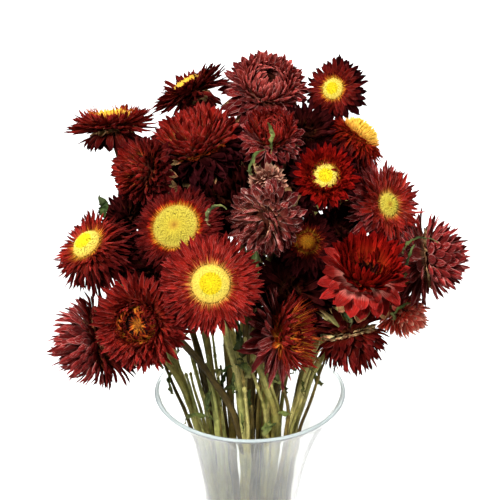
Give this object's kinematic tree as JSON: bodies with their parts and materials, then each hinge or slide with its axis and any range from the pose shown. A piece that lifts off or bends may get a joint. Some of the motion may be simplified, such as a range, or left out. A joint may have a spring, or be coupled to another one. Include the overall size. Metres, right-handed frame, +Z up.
{
  "type": "dried strawflower bunch in a vase",
  "caption": "A bunch of dried dark-red strawflowers with yellow hearts on branching stems, standing in a clear flared glass vase.",
  "frame": {"origin": "centre of the vase's flat foot, where the object stands", "axes": "+Z up along the vase's axis, -Y the front that faces the viewer, +X to the viewer's right"},
  "size_m": [0.2243, 0.202, 0.3756],
  "materials": {
    "glass": "clear, smooth, faintly green at the rim",
    "stems": "dry olive-brown, ridged lengthways",
    "bracts_red": "papery, with a soft sheen",
    "bracts_dark": "papery, with a soft sheen",
    "bracts_faded": "papery and silky",
    "disc_yellow": "matt, finely tufted",
    "disc_orange": "matt, finely tufted"
  },
  "bodies": {
    "root": {"vase": "glass", "stemFront": "stems", "stemLeft": "stems", "stemFarLeft": "stems", "stemBackLeft": "stems", "stemLow": "stems", "stemRight": "stems", "stemFarRight": "stems", "stemBackRight": "stems", "stemRear": "stems", "stemBright": "stems", "stemTall": "stems", "stemTop": "stems", "stemTopLeft": "stems", "stemMiddle": "stems", "bloomFrontFull": "bracts_red", "discFrontFull": "disc_yellow", "bloomLeftWide": "bracts_dark", "discLeftWide": "disc_yellow", "bloomLeftSide": "bracts_dark", "discLeftSide": "disc_yellow", "bloomLowerLeft": "bracts_red", "discLowerLeft": "disc_orange", "bloomLowFarLeft": "bracts_dark", "bloomLowCentre": "bracts_red", "discLowCentre": "disc_orange", "bloomLowRight": "bracts_dark", "bloomRightSmall": "bracts_faded", "bloomRightGlobe": "bracts_faded", "bloomRightBright": "bracts_red", "bloomRightWide": "bracts_red", "discRightWide": "disc_yellow", "bloomCentreRight": "bracts_red", "discCentreRight": "disc_yellow", "bloomTopRight": "bracts_dark", "discTopRight": "disc_yellow", "bloomTopCap": "bracts_dark", "discTopCap": "disc_yellow", "bloomTopGlobe": "bracts_faded", "bloomTopLeft": "bracts_dark", "discTopLeft": "disc_yellow", "bloomFarLeft": "bracts_dark", "discFarLeft": "disc_yellow", "bloomUpperLeftBig": "bracts_dark", "bloomUpperLeftLow": "bracts_dark", "bloomUpperCentre": "bracts_faded", "bloomSmallPale": "bracts_faded", "bloomPaleCentre": "bracts_faded", "bloomShadeRight": "bracts_dark", "discShadeRight": "disc_orange", "bloomBehindRight": "bracts_dark", "bloomBehindLeft": "bracts_dark", "bloomShadeLeft": "bracts_dark", "bloomShadeMid": "bracts_dark", "bloomBackLeft": "bracts_red", "bloomInnerLeft": "bracts_dark", "bloomInnerRight": "bracts_dark", "bloomBackMid": "bracts_red", "bloomBackRight": "bracts_red", "bloomShadeCentre": "bracts_dark"}
  },
  "joints": []
}
